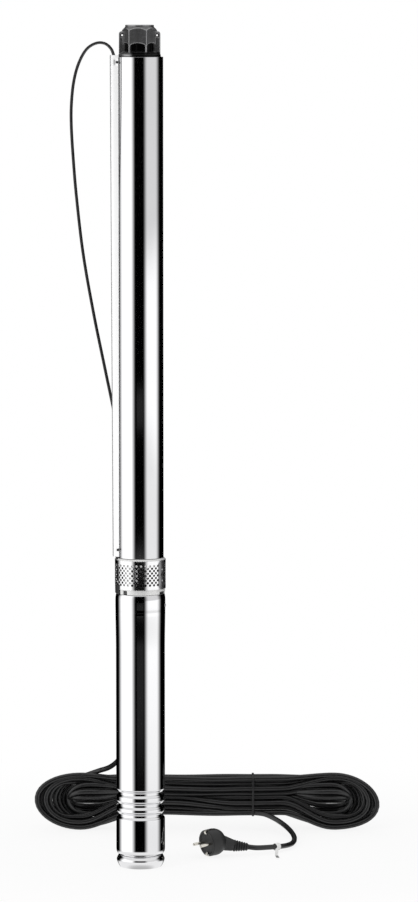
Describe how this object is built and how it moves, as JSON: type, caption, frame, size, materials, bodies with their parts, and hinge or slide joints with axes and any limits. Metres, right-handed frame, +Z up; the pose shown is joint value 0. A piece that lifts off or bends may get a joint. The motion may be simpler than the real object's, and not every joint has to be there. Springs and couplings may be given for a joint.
{
  "type": "borehole submersible pump",
  "caption": "Slim multistage borehole pump with a stainless canned motor, perforated strainer, cable guard, non-return valve, coiled drop cable and angled mains plug.",
  "frame": {"origin": "centre of the motor's flat foot", "axes": "+Z up the shaft to the outlet, -Y toward the viewer of the picture, guard and lead on the -X side"},
  "size_m": [0.572, 0.3996, 1.337],
  "materials": {
    "polished_stainless": "polished",
    "bright_sheet": "brushed",
    "small_steel": "satin",
    "plug_pin_metal": "plated",
    "dark_casting": "coated",
    "bracket_casting": "satin",
    "moulded_stage": "moulded",
    "black_cable": "matt",
    "black_rubber": "matt",
    "white_tag": "matt",
    "laminated_iron": "laminated",
    "winding_copper": "enamelled",
    "bearing_carbon": "ground",
    "seal_ceramic": "lapped"
  },
  "bodies": {
    "casing": {"base_cap": "polished_stainless", "bowl_stack": "moulded_stage", "cable_guard": "bright_sheet", "cable_hank": "black_cable", "cable_tag": "white_tag", "cable_tail": "black_cable", "diaphragm": "black_rubber", "discharge_head": "dark_casting", "drop_cable": "black_cable", "flange_stud_1": "small_steel", "flange_stud_2": "small_steel", "flange_stud_3": "small_steel", "flange_stud_4": "small_steel", "free_lead": "black_cable", "guard_screw_bottom": "small_steel", "guard_screw_top": "small_steel", "guarded_lead": "black_cable", "hank_tie": "black_rubber", "lead_gland": "black_rubber", "lead_splice": "black_rubber", "lower_bearing": "bearing_carbon", "lower_end_bell": "dark_casting", "motor_shell": "polished_stainless", "plug_body": "black_rubber", "plug_pin_1": "plug_pin_metal", "plug_pin_2": "plug_pin_metal", "pump_shell": "polished_stainless", "run_capacitor": "bright_sheet", "seal_seat": "seal_ceramic", "stator_core": "laminated_iron", "strainer": "bright_sheet", "strainer_screw": "small_steel", "suction_bracket": "bracket_casting", "thrust_bearing": "bearing_carbon", "top_bearing": "moulded_stage", "upper_bearing": "bearing_carbon", "upper_end_bell": "dark_casting", "valve_guide": "moulded_stage", "valve_spring": "small_steel", "winding_lower": "winding_copper", "winding_upper": "winding_copper"},
    "rotor": {"pump_shaft": "small_steel", "motor_shaft": "small_steel", "shaft_coupling": "small_steel", "rotor_core": "laminated_iron", "sand_slinger": "black_rubber", "seal_head": "black_rubber", "thrust_disc": "small_steel", "impeller_01": "moulded_stage", "impeller_02": "moulded_stage", "impeller_03": "moulded_stage", "impeller_04": "moulded_stage", "impeller_05": "moulded_stage", "impeller_06": "moulded_stage", "impeller_07": "moulded_stage", "impeller_08": "moulded_stage", "impeller_09": "moulded_stage", "impeller_10": "moulded_stage", "impeller_11": "moulded_stage"},
    "valve": {"valve_poppet": "black_rubber"}
  },
  "joints": [
    {"name": "rotor_spin", "type": "hinge", "parent": "casing", "child": "rotor", "pos_m": [0, 0, 0.26], "axis": [0, 0, 1], "continuous": true},
    {"name": "valve_lift", "type": "slide", "parent": "casing", "child": "valve", "axis": [0, 0, 1], "range_m": [0, 0.008], "stiffness_N_per_m": 40, "springref_m": -0.01, "deforming": ["valve_spring"]}
  ]
}
